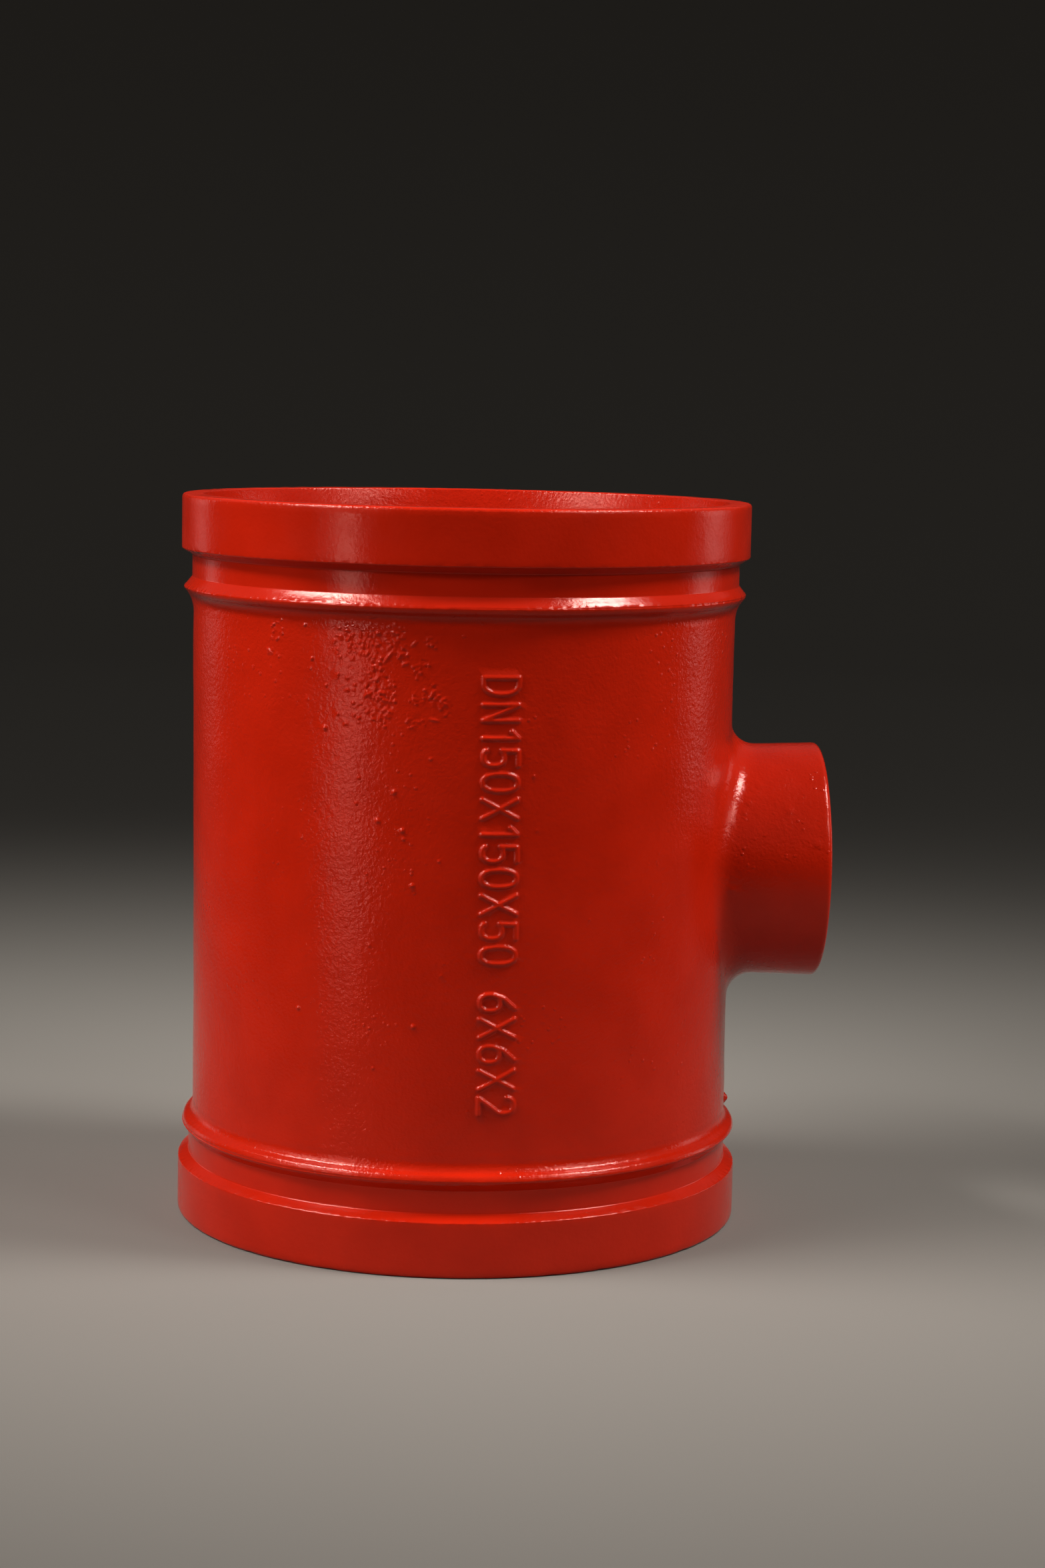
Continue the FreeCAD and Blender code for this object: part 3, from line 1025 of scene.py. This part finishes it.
def enamel_bumps(nodes, from_middle):
    """Orange peel and grain, weaker where machined, with specks, and beads of paint along edges."""
    cast = cast_share(nodes, from_middle)
    on_crest = ring_share(nodes, from_middle, GROOVE_END + 0.2)
    on_band_corner = ring_share(nodes, from_middle, BAND_WIDTH)
    on_end = nodes.ranged(from_middle, (MIDDLE - 1.6) * MM, (MIDDLE - 0.5) * MM, 0.0, 1.0)
    in_patches = nodes.ranged(nodes.speckle(45.0, detail=3.0), 0.54, 0.64, 0.0, 1.0)
    speckled = nodes.maths("MULTIPLY", in_patches, cast)
    beads = nodes.speckle(560.0, detail=0.0)
    peel_strength = nodes.ranged(cast, 0.0, 1.0, 0.45, 1.0)
    grain_strength = nodes.ranged(cast, 0.0, 1.0, 0.25, 1.0)

    surface = nodes.raised(nodes.speckle(560.0, detail=4.0, roughness=0.6), 0.15, peel_strength)
    surface = nodes.raised(nodes.dots(420.0, 0.10, 0.26), 0.12, speckled, under=surface)
    surface = nodes.raised(beads, 0.22, on_crest, under=surface)
    surface = nodes.raised(beads, 0.22, on_band_corner, under=surface)
    surface = nodes.raised(nodes.speckle(900.0), 0.20, on_end, under=surface)
    return nodes.raised(nodes.speckle(1150.0), 0.085, grain_strength, under=surface)


def red_enamel():
    """Glossy red enamel over a casting: an uneven orange peel, smoother on the machined ends."""
    material = bpy.data.materials.new("red_enamel")
    material.use_nodes = True
    shader = material.node_tree.nodes["Principled BSDF"]
    shader.inputs["IOR"].default_value = ENAMEL_IOR
    shader.inputs["Specular IOR Level"].default_value = 0.5
    shader.inputs["Specular Tint"].default_value = ENAMEL_REFLECTION
    nodes = Nodes(material.node_tree)
    from_middle = distance_from_middle(nodes)
    nodes.feed(shader.inputs["Base Color"], enamel_colour(nodes))
    nodes.feed(shader.inputs["Roughness"], enamel_roughness(nodes, from_middle))
    nodes.feed(shader.inputs["Normal"], enamel_bumps(nodes, from_middle))
    return material


def placed(name, data):
    """A new object in the scene."""
    thing = bpy.data.objects.new(name, data)
    bpy.context.scene.collection.objects.link(thing)
    return thing


def painted_body():
    body = placed("painted_body", tee_mesh())
    body.data.materials.append(red_enamel())
    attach(body, "root")
    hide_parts("tee_body")


# The studio

CAMERA_SPOT = (-39.87, -913.05, 241.6)  # millimetres
CAMERA_YAW = 3.606  # degrees from +Y towards +X
CAMERA_PITCH = -7.191
CAMERA_ROLL = 1.175
CAMERA_SENSOR = 36  # the photograph's long side on the sensor
CAMERA_LENS = 71.88


def photo_camera():
    data = bpy.data.cameras.new("photo_camera")
    data.sensor_width = CAMERA_SENSOR
    data.lens = CAMERA_LENS
    data.clip_start = 0.05
    data.clip_end = 20
    camera = placed("photo_camera", data)
    yaw, pitch = math.radians(CAMERA_YAW), math.radians(CAMERA_PITCH)
    level = math.cos(pitch)
    ahead = Vector((math.sin(yaw) * level, math.cos(yaw) * level, math.sin(pitch)))
    right = Vector((math.cos(yaw), -math.sin(yaw), 0))
    upward = right.cross(ahead)
    axes = Matrix((right, upward, -ahead)).transposed().to_4x4()
    camera.matrix_world = (
        Matrix.Translation(Vector(CAMERA_SPOT) * MM) @ axes
        @ Matrix.Rotation(math.radians(CAMERA_ROLL), 4, "Z")
    )
    bpy.context.scene.camera = camera


LIGHT_DISTANCE = 1.5  # metres from the middle of the part
LIGHT_SPREAD = math.radians(38)  # a grid on each light keeps it off the far floor


def soft_box(name, bearing, height, size, brightness, lean=0, distance=LIGHT_DISTANCE):
    """A rectangular light that faces the part.

    Its bearing is to the right of the camera's side and its height is above the horizon, in degrees;
    its lean turns it about the line to the part. Its size and its distance are in metres, and its
    brightness is the same whatever the size.
    """
    data = bpy.data.lights.new(name, "AREA")
    data.shape = "RECTANGLE"
    data.size, data.size_y = size
    data.spread = LIGHT_SPREAD
    half = LIGHT_SPREAD / 2
    data.energy = brightness * math.pi * size[0] * size[1] * (1 - half / math.tan(half))
    light = placed(name, data)
    turn, lift = math.radians(bearing), math.radians(height)
    level = math.cos(lift)
    away = Vector((math.sin(turn) * level, -math.cos(turn) * level, math.sin(lift)))
    light.location = Vector((0, 0, MIDDLE * MM)) + away * distance
    light.visible_camera = False
    towards = (-away).to_track_quat("-Z", "Y").to_matrix()
    light.rotation_euler = (towards @ Matrix.Rotation(math.radians(lean), 3, "Z")).to_euler()


# The floor, in metres: a flat round that sweeps up into a plain backdrop on every side.
FLOOR_RADIUS, FLOOR_BEND, BACKDROP_TOP = 1.9, 0.7, 1.0
FLOOR_SIDES, BEND_STEPS = 96, 8
FLOOR_COLOUR = (0.23, 0.21, 0.185, 1)
WORLD_COLOUR, WORLD_STRENGTH = (1.0, 1.0, 0.98, 1), 0.10
PHOTO_GAMMA, PHOTO_EXPOSURE = 0.9, 0.34


def floor_outline():
    """Radius and height of the floor's rings, from its middle outwards."""
    outline = [(0.001, 0), (0.5, 0), (1.2, 0), (FLOOR_RADIUS, 0)]
    for step in range(1, BEND_STEPS + 1):
        turn = math.pi / 2 * step / BEND_STEPS
        radius = FLOOR_RADIUS + FLOOR_BEND * math.sin(turn)
        outline.append((radius, FLOOR_BEND * (1 - math.cos(turn))))
    outline.append((FLOOR_RADIUS + FLOOR_BEND, BACKDROP_TOP))
    return outline


def floor_mesh():
    outline = floor_outline()
    points, faces = [], []
    for radius, height in outline:
        for side in range(FLOOR_SIDES):
            points.append(on_cylinder(radius, 2 * math.pi * side / FLOOR_SIDES, height))
    for ring in range(len(outline) - 1):
        first = ring * FLOOR_SIDES
        for side in range(FLOOR_SIDES):
            here, ahead = first + side, first + (side + 1) % FLOOR_SIDES
            faces.append((here, ahead, ahead + FLOOR_SIDES, here + FLOOR_SIDES))
    faces.append(tuple(reversed(range(FLOOR_SIDES))))
    mesh = bpy.data.meshes.new("floor")
    mesh.from_pydata(points, [], faces)
    mesh.shade_smooth()
    return mesh


def floor_paint():
    pale = bpy.data.materials.new("pale_floor")
    pale.use_nodes = True
    surface = pale.node_tree.nodes["Principled BSDF"]
    surface.inputs["Base Color"].default_value = FLOOR_COLOUR
    surface.inputs["Roughness"].default_value = 0.95
    surface.inputs["Specular IOR Level"].default_value = 0.2
    return pale


def pale_floor():
    floor = placed("floor", floor_mesh())
    floor.data.materials.append(floor_paint())


def photo_tones():
    """A dim world, and the photograph's exposure."""
    world = bpy.data.worlds.new("studio")
    world.use_nodes = True
    background = world.node_tree.nodes["Background"]
    background.inputs["Color"].default_value = WORLD_COLOUR
    background.inputs["Strength"].default_value = WORLD_STRENGTH
    scene = bpy.context.scene
    scene.world = world
    scene.view_settings.view_transform = "Standard"
    scene.view_settings.gamma = PHOTO_GAMMA
    scene.view_settings.exposure = PHOTO_EXPOSURE


def studio():
    pale_floor()
    photo_tones()
    soft_box("left_main", bearing=-84, height=52, size=(0.80, 0.28), brightness=40, lean=25)
    soft_box("right_main", bearing=78, height=53, size=(0.46, 0.38), brightness=40, lean=-30)
    soft_box("left_strip", bearing=-62, height=34.5, size=(0.64, 0.13), brightness=26, lean=12)
    soft_box("right_strip", bearing=48, height=36.5, size=(0.50, 0.13), brightness=22, lean=-10)
    soft_box("left_low", bearing=-50, height=18, size=(0.62, 0.50), brightness=1.2)
    soft_box("left_streak", bearing=-48, height=0.5, size=(0.09, 0.20), brightness=4.2, distance=0.6)
    soft_box("left_card", bearing=-66, height=23, size=(0.60, 0.16), brightness=8)
    soft_box("right_card", bearing=54, height=23, size=(0.46, 0.16), brightness=7)
    soft_box("left_side", bearing=-82, height=20, size=(1.0, 1.0), brightness=0.6)
    soft_box("right_side", bearing=76, height=20, size=(1.0, 1.0), brightness=0.3)
    soft_box("right_behind", bearing=112, height=6, size=(0.40, 0.7), brightness=1.6)
    soft_box("left_behind", bearing=-132, height=6, size=(0.32, 0.7), brightness=0.8)


painted_body()
studio()
photo_camera()
